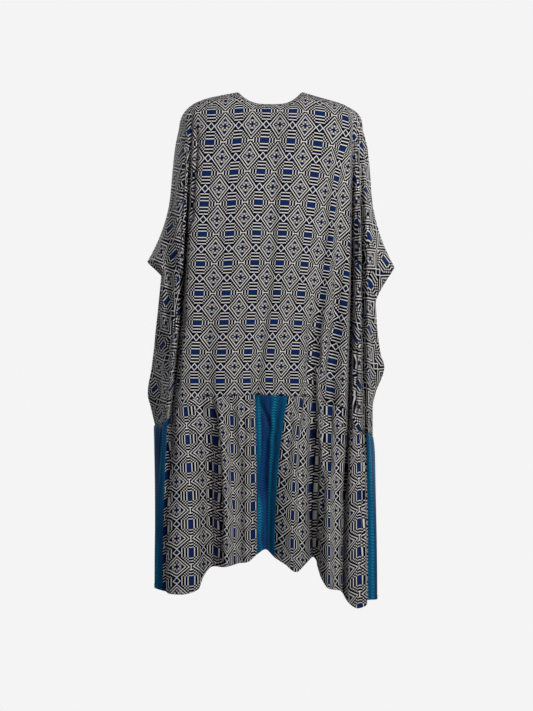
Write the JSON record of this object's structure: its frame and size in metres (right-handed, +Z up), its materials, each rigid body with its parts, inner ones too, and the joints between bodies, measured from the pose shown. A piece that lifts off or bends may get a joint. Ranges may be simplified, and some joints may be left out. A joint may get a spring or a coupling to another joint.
{
  "type": "kimono robe",
  "caption": "Open-front long kimono robe in thin printed cloth, with wide sleeves cut in one with the body and a gathered flounce with striped blue panels, hanging as worn.",
  "frame": {"origin": "midway between the two neck points of the shoulder seam, where the wearer's shoulders carry the robe", "axes": "+Z up, -Y towards the wearer's back, which the picture shows, +X towards the wearer's right"},
  "size_m": [0.5436, 0.2636, 1.1127],
  "materials": {
    "print_cloth": "matt woven cloth, cream and navy lattice print",
    "blue_cloth": "soft sheen woven cloth, teal and blue bands"
  },
  "bodies": {
    "root": {"front_left": "print_cloth", "back": "print_cloth", "front_right": "print_cloth", "flounce_front_left": "print_cloth", "flounce_side_left": "blue_cloth", "flounce_back_left": "print_cloth", "flounce_back_centre": "blue_cloth", "flounce_back_right": "print_cloth", "flounce_side_right": "blue_cloth", "flounce_front_right": "print_cloth"}
  },
  "joints": []
}
